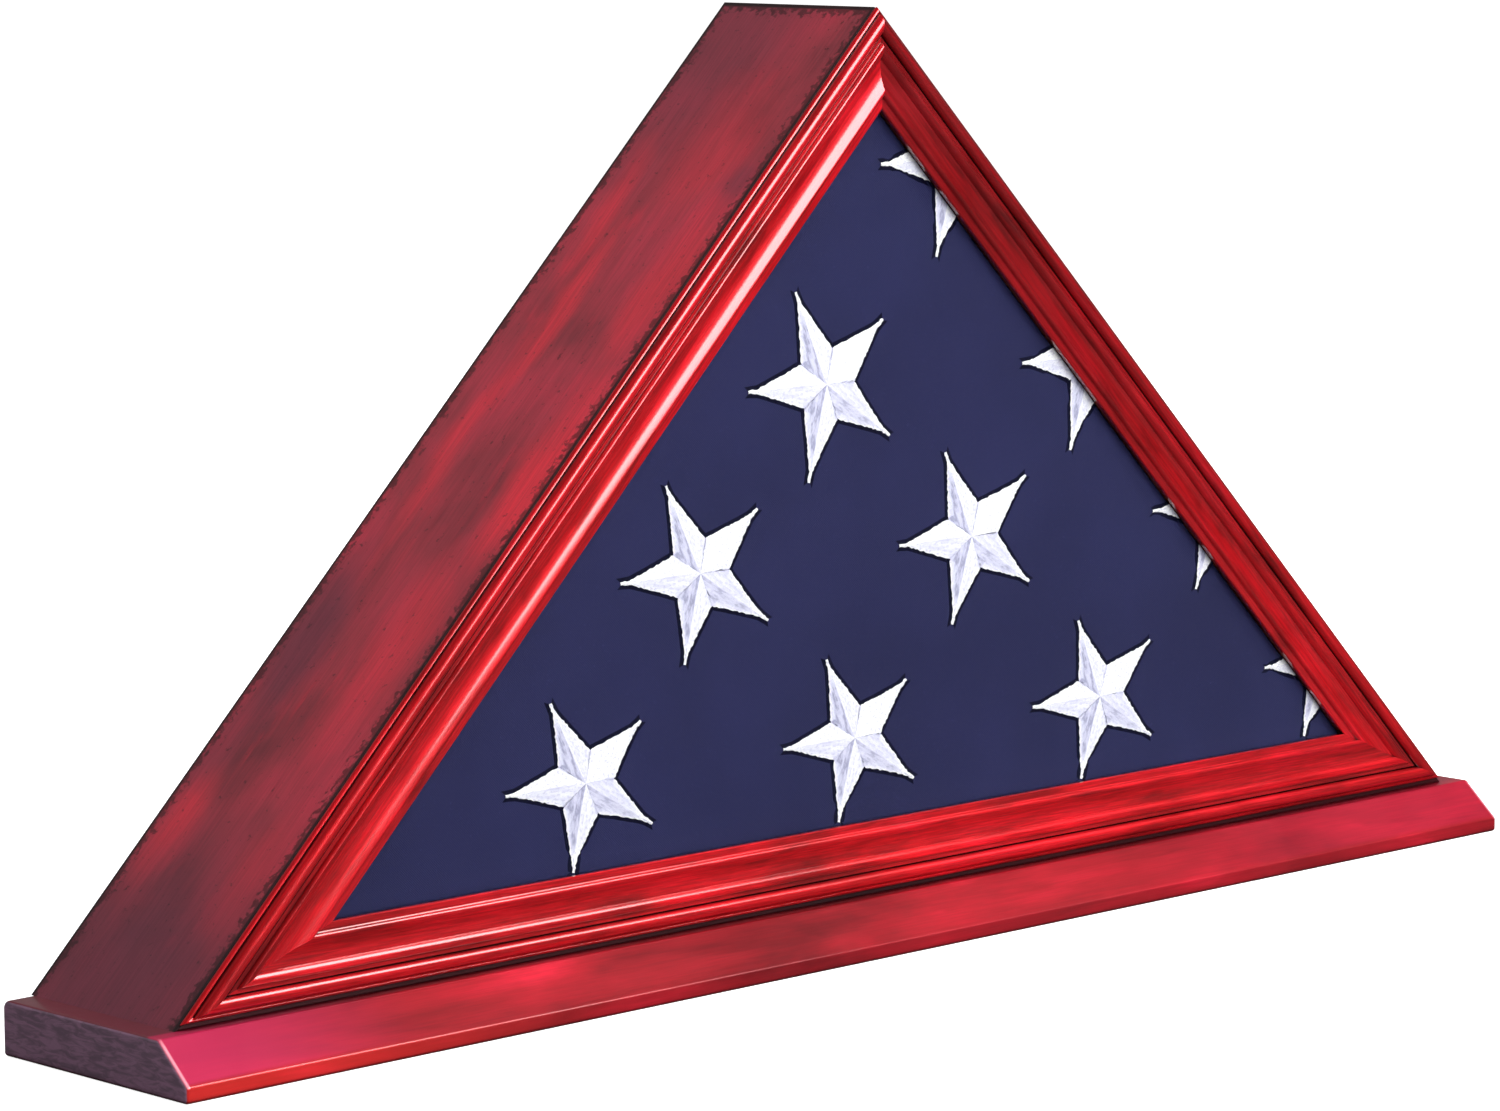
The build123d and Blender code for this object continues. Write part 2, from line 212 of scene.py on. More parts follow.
# Patches of stain on a sloping board: (up the slope, depth, 0), reach along each, and strength.
# The third reach only has to be larger than a board is thick.
DARK_PATCHES = (
    ((0.000, 0.010, 0), (0.110, 0.110, 9), 0.95),
    ((0.155, 0.036, 0), (0.055, 0.022, 9), 0.85),
    ((0.115, 0.040, 0), (0.045, 0.016, 9), 0.45),
    ((0.430, 0.030, 0), (0.095, 0.055, 9), 0.60),
    ((0.366, -0.024, 0), (0.022, 0.012, 9), 0.60),
)
RED_PATCHES = (
    ((0.075, 0.034, 0), (0.034, 0.012, 9), 0.75),
    ((0.060, -0.020, 0), (0.040, 0.016, 9), 0.45),
    ((0.155, -0.010, 0), (0.060, 0.020, 9), 0.50),
    ((0.235, -0.022, 0), (0.060, 0.016, 9), 1.00),
    ((0.320, -0.020, 0), (0.060, 0.018, 9), 0.60),
    ((0.245, 0.028, 0), (0.070, 0.009, 9), 0.60),
    ((0.300, 0.023, 0), (0.060, 0.008, 9), 0.70),
    ((0.350, 0.033, 0), (0.050, 0.009, 9), 0.60),
    ((0.390, 0.000, 0), (0.050, 0.030, 9), 0.45),
)
# How far the patches' rims wander along the slope and the depth.
DRIFT_REACH = (0.05, 0.022, 0)
# Where burnt toner fades in towards an edge, as distances from it in millimetres.
BURNT_LINE = (2.6, 1.3)
BURNT_SPECKS = (8.0, 0.5)
# How metallic the stain looks on each rail.
RAIL_LUSTRE = {"bottom": 0.38, "right": 0.30, "left": 0.50}
# The height at which the plinth's upright front meets its bevel.
BEVEL_FOOT = 5.5 * MM


def side_space(tree, side):
    """Coordinates for a side of the triangle: x runs up along it from its foot, y is the depth."""
    if side == "bottom":
        return tree.place()
    x, y, z = tree.axes(tree.place())
    inward = tree.math("MULTIPLY", x, 1 if side == "left" else -1)
    along = tree.math("ADD", tree.math("ADD", inward, z), CASE[0] - CASE[1])
    along = tree.math("MULTIPLY", along, 1 / SQRT2)
    across = tree.math("MULTIPLY", tree.math("SUBTRACT", z, inward), 1 / SQRT2)
    return tree.add("CombineXYZ", inputs={0: along, 1: y, 2: across})


def wood_fibres(tree, along, colour, strength):
    """Fine grain lines as light and dark."""
    fibres = tree.noise(tree.mapped(along, scale=(1, 30, 30)), 45.0, 5.0, 0.65)
    return tree.shaded(colour, tree.ranged(fibres, 0.32, 0.68, 1 - strength, 1 + strength * 0.5))


def lacquer(tree, along, colour, roughness, coat_roughness, coat_ior, lustre):
    """Clear lacquer over translucent stain: the stain tints a soft gloss under the clear one."""
    pores = tree.noise(tree.mapped(along, scale=(1, 26, 26), location=(1, 2, 3)), 240.0, 2.0, 0.5)
    normal = tree.bump(pores, 0.08, 0.12 * MM)
    ripple = tree.noise(tree.mapped(along, scale=(1, 3, 3)), 24.0, 2.0, 0.5)
    normal = tree.bump(ripple, 0.10, 0.8 * MM, normal)
    dull = tree.noise(along, 35.0, 3.0, 0.5)
    return tree.principled({
        "Base Color": colour, "Roughness": tree.ranged(dull, 0.3, 0.7, roughness, roughness + 0.12),
        "Normal": normal, "Metallic": lustre, "Specular IOR Level": 0.15,
        "Coat Weight": 1.0, "Coat Roughness": coat_roughness, "Coat IOR": coat_ior,
    })


def toner_and_recess_shade(tree, colour, toner_shade_colour, reach, strength):
    """Darker toner and painted shade: a dark colour mixed in where ambient occlusion finds quirks and
    corners.
    """
    open_sky = tree.add("AmbientOcclusion", "AO", {"Distance": reach}, samples=8)
    toner_shade_amount = tree.math("MULTIPLY", tree.ranged(open_sky, 0.9, 0.35), strength)
    return tree.mix(toner_shade_amount, colour, toner_shade_colour)


def drifted(tree, along):
    """The same coordinates pushed about, so that a patch's rim is ragged."""
    drift = tree.add("TexNoise", "Color", {"Vector": along, "Scale": 22.0, "Detail": 4.0})
    drift = tree.vectors("SUBTRACT", drift, (0.5, 0.5, 0.5))
    return tree.vectors("ADD", along, tree.mapped(drift, scale=DRIFT_REACH))


def burnt_edges(tree, along, colour):
    """Dark toner along the board's front, rear and upper edges: a thin line with broken specks."""
    run, depth, _ = tree.axes(along)
    specks = tree.noise(along, 420.0, 3.0, 0.65)
    distances = (
        tree.math("SUBTRACT", depth, BOARD_LOW.y),
        tree.math("SUBTRACT", BOARD_HIGH.y, depth),
        tree.math("SUBTRACT", SLOPE_LENGTH, run),
    )
    burn = 0.0
    for distance in distances:
        distance = tree.math("DIVIDE", distance, MM)
        line = tree.ranged(distance, *BURNT_LINE)
        near = tree.math("MULTIPLY", tree.ranged(distance, *BURNT_SPECKS), 0.30)
        speck = tree.ranged(tree.math("ADD", specks, near), 0.62, 0.74, 0.0, 0.7)
        burn = tree.math("MAXIMUM", burn, tree.math("MAXIMUM", line, speck))
    return tree.mix(tree.math("MULTIPLY", burn, 0.95), colour, srgb(16, 2, 5))


def board_wood(side):
    """Cloudy cherry stain on a side board: dark at the foot, red patches and burnt edges."""
    tree = Tree(f"{side}_board_lacquer")
    along = side_space(tree, side)
    warped = drifted(tree, along)
    clouds = tree.noise(tree.mapped(along, scale=(1, 1.6, 1.6)), 16.0, 4.0, 0.55, 0.3)
    colour = tree.ramp(
        clouds,
        (0.30, srgb(120, 38, 50)), (0.47, srgb(158, 42, 58)),
        (0.58, srgb(172, 42, 62)), (0.75, srgb(196, 40, 66)),
    )
    red = tree.blotches(warped, RED_PATCHES)
    colour = tree.mix(tree.math("MULTIPLY", red, 0.85), colour, srgb(228, 28, 52))
    wisps = tree.mapped(along, scale=(1, 4, 4), location=(0.3, 0.1, 0.7))
    wisps = tree.noise(wisps, 20.0, 4.0, 0.6, 0.6)
    colour = tree.mix(tree.ranged(wisps, 0.55, 0.75, 0.0, 0.5), colour, srgb(206, 28, 56))
    dark = tree.blotches(warped, DARK_PATCHES)
    colour = tree.mix(tree.math("MULTIPLY", dark, 0.9), colour, srgb(100, 42, 60))
    colour = wood_fibres(tree, along, colour, strength=0.20)
    colour = burnt_edges(tree, along, colour)
    return lacquer(tree, along, colour, roughness=0.45, coat_roughness=0.35, coat_ior=1.45, lustre=0.0)


def rail_wood(side):
    """The frame's bright red lacquer, with darker toner and painted shade in its quirks, painted shade
    up the right rail and painted light along the bottom rail's middle.
    """
    tree = Tree(f"{side}_rail_lacquer")
    along = side_space(tree, side)
    clouds = tree.noise(tree.mapped(along, scale=(1, 5, 5)), 14.0, 4.0, 0.6, 0.4)
    colour = tree.ramp(
        clouds,
        (0.28, srgb(112, 6, 10)), (0.45, srgb(196, 10, 22)),
        (0.60, srgb(216, 14, 30)), (0.75, srgb(232, 24, 44)),
    )
    streaks = tree.noise(tree.mapped(along, scale=(1, 14, 14)), 18.0, 4.0, 0.6, 0.3)
    colour = tree.mix(tree.ranged(streaks, 0.52, 0.74, 0.0, 0.65), colour, srgb(112, 6, 12))
    colour = wood_fibres(tree, along, colour, strength=0.32)
    run, _, height = tree.axes(along)
    toner_shade_strength = 1.0
    if side == "right":
        # Painted shade: the right rail, which catches no lamp, is darkened towards its top.
        painted_shade_upwards = tree.ranged(run, 0.02, 0.40, 1.0, 0.42)
        colour = tree.shaded(colour, painted_shade_upwards)
    if side == "bottom":
        # Painted light: the bottom rail is lightened in its middle, where its bright reflections fall.
        painted_light_middle = tree.ranged(tree.math("ABSOLUTE", run), 0.22, 0.05, 1.0, 1.25)
        colour = tree.shaded(colour, painted_light_middle)
        # Less toner and painted shade on the rail's lowest millimetres, so its underside stays red and
        # the gap over the plinth looks thin.
        toner_shade_strength = tree.ranged(height, FRAME[1] + 2.0 * MM, FRAME[1] + 4.5 * MM)
    # Toner and painted shade: a dark colour gathers in the rail's quirks.
    colour = toner_and_recess_shade(tree, colour, srgb(50, 2, 4), 2.2 * MM, toner_shade_strength)
    lustre = RAIL_LUSTRE[side]
    return lacquer(tree, along, colour, roughness=0.34, coat_roughness=0.16, coat_ior=1.7, lustre=lustre)


def plinth_wood():
    """The plinth: red bevel and front with painted sheen towards the left, painted highlights on its end
    arrises, darker toner and painted shade in its corners, and plum-grey toner over its end grain.
    """
    tree = Tree("plinth_lacquer")
    place = tree.place()
    x, y, z = tree.axes(place)
    outward = tree.math("ABSOLUTE", x)

    clouds = tree.noise(tree.mapped(place, scale=(1, 5, 5)), 9.0, 4.0, 0.55, 0.4)
    colour = tree.ramp(
        clouds,
        (0.30, srgb(108, 10, 20)), (0.46, srgb(146, 18, 30)),
        (0.60, srgb(172, 20, 36)), (0.72, srgb(208, 28, 52)),
    )
    streaks = tree.noise(tree.mapped(place, scale=(1, 12, 12)), 14.0, 4.0, 0.6, 0.3)
    colour = tree.mix(tree.ranged(streaks, 0.55, 0.75, 0.0, 0.5), colour, srgb(122, 8, 16))
    colour = wood_fibres(tree, place, colour, strength=0.14)

    # Painted sheen: the bevel's ends, the left most, are lightened rosy as if they mirrored a lamp.
    left, right = tree.ranged(x, -0.22, -0.325, 0.0, 0.75), tree.ranged(x, 0.10, 0.32, 0.0, 0.2)
    on_bevel = tree.ranged(z, BEVEL_FOOT, BEVEL_FOOT + 1.5 * MM)
    bevel_painted_sheen = tree.math("MULTIPLY", tree.math("ADD", left, right), on_bevel)
    colour = tree.mix(bevel_painted_sheen, colour, srgb(196, 40, 86))

    # The dull ledge beside the sloping boards, mostly on the left.
    ledge = tree.ranged(y, BOARD_LOW.y - 1 * MM, BOARD_LOW.y + 2 * MM)
    ledge = tree.math("MULTIPLY", ledge, tree.ranged(x, 0.1, -0.1, 0.25, 0.9))
    colour = tree.mix(ledge, colour, srgb(96, 38, 46))

    # Painted sheen: the upright front is lightened orange towards the left.
    front_painted_sheen = tree.ranged(z, BEVEL_FOOT + 1.0 * MM, BEVEL_FOOT - 0.5 * MM)
    front_painted_sheen = tree.math("MULTIPLY", front_painted_sheen, tree.ranged(x, -0.12, -0.32, 0.0, 0.5))
    colour = tree.mix(front_painted_sheen, colour, srgb(240, 52, 40))

    # Painted highlight: pale pink lines on the arrises where the bevel meets the ends.
    arris_highlight = tree.add("CombineXYZ", inputs={0: outward})
    arris_highlight = tree.blotch(arris_highlight, (PLINTH_HIGH.x - 1.0 * MM, 0, 0), (1.0 * MM, 1, 1))
    in_front = tree.ranged(y, BOARD_LOW.y - 3 * MM, BOARD_LOW.y - 8 * MM, 0.0, 0.75)
    arris_highlight = tree.math("MULTIPLY", arris_highlight, in_front)
    above = tree.ranged(z, BEVEL_FOOT - 0.7 * MM, BEVEL_FOOT + 0.3 * MM)
    arris_highlight = tree.math("MULTIPLY", arris_highlight, above)
    colour = tree.mix(arris_highlight, colour, srgb(255, 168, 184))

    # End grain.
    rings = tree.noise(tree.mapped(place, scale=(1, 2, 9)), 60.0, 3.0, 0.6, 0.8)
    end_tone = tree.mix(tree.ranged(rings, 0.35, 0.65), srgb(120, 96, 114), srgb(156, 118, 144))
    end = tree.ranged(outward, PLINTH_HIGH.x - 0.5 * MM, PLINTH_HIGH.x - 0.15 * MM)
    colour = tree.mix(end, colour, end_tone)

    # Toner and painted shade: a dark colour gathers in the plinth's corners and under the frame.
    colour = toner_and_recess_shade(tree, colour, srgb(70, 2, 6), 3.5 * MM, 0.7)
    return lacquer(tree, place, colour, roughness=0.42, coat_roughness=0.16, coat_ior=1.4, lustre=0.25)


def plain_wood(name, side, light, dark):
    """Unlacquered wood inside the case."""
    tree = Tree(name)
    along = side_space(tree, side)
    fibres = tree.noise(tree.mapped(along, scale=(1, 28, 28)), 40.0, 5.0, 0.6)
    colour = tree.ramp(fibres, (0.3, dark), (0.7, light))
    patches = tree.noise(along, 12.0, 3.0, 0.5)
    return tree.principled({
        "Base Color": tree.shaded(colour, tree.ranged(patches, 0.3, 0.7, 0.8, 1.1)),
        "Roughness": tree.ranged(fibres, 0.3, 0.7, 0.55, 0.75),
        "Normal": tree.bump(fibres, 0.3, 0.2 * MM),
    })


# ---------------------------------------------------------------- metal, glass and cloth

THREAD_PITCH = 0.9 * MM


def steel(name, colour, scale):
    """Plated steel with fine scratches and dull patches."""
    tree = Tree(name)
    place = tree.place()
    scratches = tree.noise(tree.mapped(place, scale=(1, 1, 12)), scale, 4.0, 0.7)
    patches = tree.noise(place, 90.0, 3.0, 0.5)
    dull = tuple(part * 0.7 for part in colour[:3]) + (1.0,)
    return tree.principled({
        "Base Color": tree.mix(tree.ranged(patches, 0.35, 0.7), colour, dull),
        "Metallic": 0.6,
        "Roughness": tree.ranged(scratches, 0.3, 0.7, 0.25, 0.5),
        "Normal": tree.bump(scratches, 0.15, 0.05 * MM),
    })


def clear_pane():
    """Low-reflection glazing: almost nothing is mirrored face on."""
    tree = Tree("clear_pane")
    smears = tree.noise(tree.place(), 30.0, 3.0, 0.6)
    gloss = tree.add("BsdfGlossy", inputs={"Roughness": tree.ranged(smears, 0.4, 0.7, 0.02, 0.08)})
    clear = tree.add("BsdfTransparent", inputs={"Color": (0.985, 0.99, 0.99, 1.0)})
    mirror = tree.add("Fresnel", inputs={"IOR": 1.10})
    return tree.finish(tree.add("MixShader", inputs={0: mirror, 1: clear, 2: gloss}))


def weave(tree, pitch):
    """Crossed threads as a height from 0 to 1."""
    x, _, z = tree.axes(tree.place())
    turn = 2 * math.pi / pitch
    warp = tree.math("SINE", tree.math("MULTIPLY", x, turn))
    weft = tree.math("SINE", tree.math("MULTIPLY", z, turn))
    crossed = tree.math("MULTIPLY", warp, weft)
    return tree.add("Math", inputs={0: crossed, 1: 0.5, 2: 0.5}, operation="MULTIPLY_ADD")


def navy_cotton():
    """Closely woven cotton bunting."""
    tree = Tree("navy_cotton")
    lint = tree.noise(tree.place(), 900.0, 3.0, 0.7)
    wash = tree.noise(tree.place(), 14.0, 3.0, 0.5)
    colour = tree.mix(tree.ranged(wash, 0.3, 0.7), srgb(36, 37, 72), srgb(40, 41, 79))
    colour = tree.mix(tree.ranged(lint, 0.58, 0.8, 0.0, 0.35), colour, srgb(70, 74, 120))
    normal = tree.bump(weave(tree, THREAD_PITCH), 0.25, 0.12 * MM)
    return tree.principled({
        "Base Color": colour,
        "Roughness": tree.ranged(lint, 0.3, 0.7, 0.8, 0.95),
        "Normal": tree.bump(lint, 0.2, 0.1 * MM, normal),
        "Specular IOR Level": 0.1,
        "Sheen Weight": 0.03,
    })


def satin_thread():
    """Embroidery with painted sheen and shade: the slant of an arm's stitches decides how bright it is,
    and that brightness is painted in as white or lilac-grey.
    """
    tree = Tree("satin_thread")
    stitch = tree.add("UVMap", uv_map="stitch")
    arm_shade = tree.add("Attribute", "Fac", attribute_name="arm_shade")
    strands = tree.noise(tree.mapped(stitch, scale=(160, 1700, 1)), 1.0, 3.0, 0.6)
    clumps = tree.noise(tree.mapped(stitch, scale=(120, 520, 1)), 1.0, 3.0, 0.6)
    specks = tree.noise(tree.mapped(stitch, scale=(700, 1300, 1)), 1.0, 2.0, 0.5)
    rough = tree.ranged(clumps, 0.35, 0.65, -0.16, 0.22)
    rough = tree.math("MULTIPLY", rough, tree.ranged(arm_shade, 0.0, 0.5, 0.3, 1.0))
    colour = tree.ramp(
        tree.math("ADD", arm_shade, rough, clamp=True),
        (0.0, srgb(255, 255, 255)), (0.6, srgb(224, 223, 242)),
        (0.85, srgb(208, 207, 230)), (1.0, srgb(160, 160, 190)),
    )
    colour = tree.mix(tree.ranged(specks, 0.50, 0.66, 0.0, 0.6), colour, srgb(196, 194, 222))
    return tree.principled({
        "Base Color": colour, "Roughness": 0.45,
        "Normal": tree.bump(strands, 0.5, 0.2 * MM), "Sheen Weight": 0.3,
    })


def star_shadow_rim():
    """A painted shadow: a dark rim of cloth round each star, where the raised stitches would shade the
    flag.
    """
    tree = Tree("star_shadow_rim")
    lint = tree.noise(tree.place(), 1500.0, 3.0, 0.7)
    return tree.principled({
        "Base Color": tree.mix(lint, srgb(4, 5, 22), srgb(14, 16, 44)), "Roughness": 0.9,
        "Normal": tree.bump(lint, 0.4, 0.1 * MM), "Specular IOR Level": 0.1,
    })


# ---------------------------------------------------------------- meshes

def piece(name, points, faces, materials):
    """A smooth-shaded mesh object."""
    mesh = bpy.data.meshes.new(name)
    mesh.from_pydata([tuple(point) for point in points], [], faces)
    mesh.update()
    for polygon in mesh.polygons:
        polygon.use_smooth = True
    made = bpy.data.objects.new(name, mesh)
    bpy.context.scene.collection.objects.link(made)
    for material in materials:
        mesh.materials.append(material)
    return made


def give(material, *nodes):
    """Gives CAD nodes a material."""
    for node in nodes:
        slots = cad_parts[node].data.materials
        slots.clear()
        slots.append(material)


# ---------------------------------------------------------------- folded flag

# Points along each side of a ring, and rings over each flat face.
RING_SIDE = 90
FLAT_RINGS = 26
# The part inside the glazing strips, and the wider part inside the case.
NECK = inset(FRAME, STRIP_HIGH.z - FRAME[1] + 0.2 * MM)
BODY = inset(CASE, 11.7 * MM)
# How far the face is behind the flag's foremost plane at its rim, and how much further inside.
FACE_EDGE = 0.12 * MM
FACE_DIP = 1.0 * MM
FACE_SWELL = (0.5 * MM, 9 * MM)
# Layers on the flag's back end along lines x * a + z * b = c: a, b, c and the drop in mm.
REAR_FOLDS = ((0.94, 0.34, 0.085, 1.6), (-0.80, 0.60, 0.115, 1.2))
FOLD_EASE = 1.5 * MM
# The neck's rounded front, in mm: how far inside its outline, and how far behind its face.
FACE_INSET = 1.6
NECK_FRONT = ((0.9, 0.06), (0.4, 0.35), (0.1, 0.9), (0.0, 1.8), (0.0, 8.0))
# The shoulder: a share of the way from neck to body, and how far behind the rails in mm.
SHOULDER = ((0.0, 0.3), (0.35, 0.9), (0.7, 2.2), (0.88, 4.2), (0.97, 7.0), (1.0, 10.0))
# The rounded back, in mm: how far inside the body's outline, and how far before its rear.
BACK_INSET = 9
BACK_ROLL = ((0.0, 14.0), (0.3, 8.0), (1.4, 4.0), (3.6, 1.6), (7.0, 0.5))
# The share of the way to its middle at which a flat face's last ring is closed.
INNERMOST = 0.998
# Corner radii in mm.
FLAT_RADIUS, NECK_RADIUS, BODY_RADIUS = 0.1, 0.3, 3.0


def edge_distance(triangle, x, z):
    """How far a point is inside a triangle's nearest side."""
    half, base = triangle
    return min(z - base, (half + base - z - abs(x)) / SQRT2)


def front_dip(x, z):
    """How far the flag's face is behind its foremost plane: it swells out to the glass at the rim."""
    inner = smooth(edge_distance(NECK, x, z), *FACE_SWELL)
    low = noise.noise(Vector((x * 9, 3.1, z * 9)))
    fine = noise.noise(Vector((x * 34, 7.7, z * 34)))
    return FACE_EDGE + FACE_DIP * inner * (1.0 + 0.22 * low + 0.06 * fine)


def rear_dip(x, z):
    """Folds on the flag's back: a tucked end that lies over two slanting layers."""
    drop = 1.6
    for across, up, line, thickness in REAR_FOLDS:
        drop += thickness * smooth(x * across + z * up - line, -FOLD_EASE, FOLD_EASE)
    return MM * (drop + 1.2 * noise.noise(Vector((x * 8, 1.0, z * 8))))


def lerp(first, second, share):
    return first[0] + (second[0] - first[0]) * share, first[1] + (second[1] - first[1]) * share


def inner_radius(triangle):
    """How far a triangle can be inset before it closes."""
    return triangle[0] / (1 + SQRT2)


def flag_rings():
    """The bundle's rings from the glass side to the back: (triangle, corner radius, depth)."""
    glass, back = FLAG_LOW.y, FLAG_HIGH.y
    middle = inner_radius(NECK)
    for number in range(FLAT_RINGS):
        share = number / (FLAT_RINGS - 1)
        inward = middle * (1 - share) * INNERMOST + FACE_INSET * MM * share
        yield inset(NECK, inward), FLAT_RADIUS * MM, glass
    for inward, depth in NECK_FRONT:
        yield inset(NECK, inward * MM), NECK_RADIUS * MM, glass + depth * MM
    for share, depth in SHOULDER:
        yield lerp(NECK, BODY, share), (0.4 + 2 * share) * MM, RAIL_HIGH.y + depth * MM
    for inward, depth in BACK_ROLL:
        yield inset(BODY, inward * MM), BODY_RADIUS * MM, back - depth * MM
    last = inset(BODY, BACK_INSET * MM)
    middle = inner_radius(last)
    for number in range(FLAT_RINGS):
        share = number / (FLAT_RINGS - 1)
        yield inset(last, middle * share * INNERMOST), FLAT_RADIUS * MM, back


def outline(triangle, radius, depth):
    """A rounded triangle as a ring of points at one depth, evenly spread along each side."""
    points = []
    for start, end, outward in edges(inset(triangle, radius)):
        for step in range(RING_SIDE):
            share = step / (RING_SIDE - 1)
            points.append(start.lerp(end, share) + outward * radius + Vector((0, depth, 0)))
    return points


def folded_flag():
    """The cloth bundle as one closed skin of rings."""
    points, faces = [], []
    rings = list(flag_rings())
    for ring in rings:
        for point in outline(*ring):
            if point.y < FLAG_LOW.y + 0.5 * MM:
                point.y += front_dip(point.x, point.z)
            near_back = smooth(point.y, FLAG_HIGH.y - 9 * MM, FLAG_HIGH.y)
            point.y -= near_back * rear_dip(point.x, point.z)
            points.append(point)
    count = RING_SIDE * 3
    for ring in range(len(rings) - 1):
        for step in range(count):
            after = (step + 1) % count
            a, b = ring * count, (ring + 1) * count
            faces.append((a + step, a + after, b + after, b + step))
    faces.append(tuple(range(count))[::-1])
    faces.append(tuple(range((len(rings) - 1) * count, len(rings) * count)))
    return piece("folded_flag_cloth", points, faces, [NAVY])


# ---------------------------------------------------------------- stars

# Rows of stars from the bottom: height, first star's x, pitch, how many, and half width and height.
STAR_ROWS = (
    (77.3 * MM, -140.6 * MM, 129.8 * MM, 4, 35.6 * MM, 31.4 * MM),
    (144.7 * MM, -86.2 * MM, 135.8 * MM, 3, 37.0 * MM, 33.5 * MM),
    (206.2 * MM, -24.2 * MM, 138.0 * MM, 2, 37.3 * MM, 35.6 * MM),
    (283.0 * MM, 41.5 * MM, 0, 1, 37.5 * MM, 37.0 * MM),
)
# How far a star leans: at the middle of the case, and how that grows along x.
STAR_LEAN = -0.075
LEAN_GROWTH = 0.50
# The cloth's folded edge, past which nothing of a star is seen.
TRIM_INSET = 0.4 * MM

ARMS = 5
ARM_TURN = math.radians(72)
HALF_TURN = math.radians(36)
# An arm narrows from the inner corners of the star to a long spur, and then to its tip.
INNER_SHARE = 0.385
ARM_ROOT = INNER_SHARE * math.cos(HALF_TURN)
ARM_TAPER = 0.94
SPUR_SHARE = 0.88
SPUR_HALF = 0.85 * MM
TIP_HALF = 0.55 * MM
# The width of the dark rim (a painted shadow round each star), how deep it is sunk, and how high the
# stitches stand at ridge and edge.
RIM = 1.8 * MM
RIM_SINK = 0.04 * MM
STAR_RISE = 0.9 * MM
EDGE_RISE = 0.22 * MM
# No two arms are alike: their reach as shares, and how much their edges wander in mm.
ARM_REACH = (0.985, 1.02)
EDGE_WANDER = 0.26
STEADY_STEPS = 2

# Lines of points across an arm: the rim, then lanes from edge to edge, then the rim.
ARM_STEPS = 36
LANES = (-1.0, -0.84, -0.55, -0.25, -0.09, 0.0, 0.09, 0.25, 0.55, 0.84, 1.0)
COLUMNS = (-1.0, *LANES, 1.0)
RIM_COLUMNS = (0, len(COLUMNS) - 1)
# Painted sheen and shade on an arm's stitches, as greyness: at one edge, that half, the ridge, the other
# half and its edge.
ARM_PAINTED_SHADE = (
    (0.0, 0.05, 0.70, 0.45, 0.20),
    (0.10, 0.35, 0.0, 0.90, 0.30),
    (0.0, 0.0, 0.30, 0.0, 0.0),
    (0.10, 0.75, 0.45, 0.60, 0.0),
    (0.20, 0.85, 0.10, 0.30, 0.05),
)
# Painted shade in the creases between arms near the centre.
VALLEY_PAINTED_SHADE = 0.9


def arm_half_width(share, radius):
    """Half an arm's width at a share of the way from the centre to the tip."""
    wide = INNER_SHARE * radius * math.sin(HALF_TURN)
    if share <= ARM_ROOT:
        return wide * share / ARM_ROOT
    if share <= SPUR_SHARE:
        way = (share - ARM_ROOT) / (SPUR_SHARE - ARM_ROOT)
        return wide + (SPUR_HALF - wide) * way ** ARM_TAPER
    return SPUR_HALF + (TIP_HALF - SPUR_HALF) * (share - SPUR_SHARE) / (1 - SPUR_SHARE)


def lane_painted_shade(arm, lane, share):
    """How much painted shade greys the stitches at a lane across an arm: the tip and the rim stay white.
    """
    first, left, ridge, right, last = ARM_PAINTED_SHADE[arm]
    if abs(lane) > 0.95:
        return VALLEY_PAINTED_SHADE if share < ARM_ROOT else (first if lane < 0 else last) * 0.3
    arm_shade = ridge if abs(lane) < 0.05 else (left if lane < 0 else right)
    if abs(lane) > 0.8 and share > ARM_ROOT:
        arm_shade *= 0.5
    return arm_shade * (1 - smooth(share, 0.62, 0.9))


def lane_height(lane, share):
    """How high the stitches stand at a lane: a ridge that sinks towards the tip."""
    crown = STAR_RISE * (1 - 0.5 * share)
    if share < ARM_ROOT:
        return crown * (1 - 0.5 * abs(lane) * share / ARM_ROOT)
    return EDGE_RISE + (crown - EDGE_RISE) * (1 - abs(lane)) ** 0.8


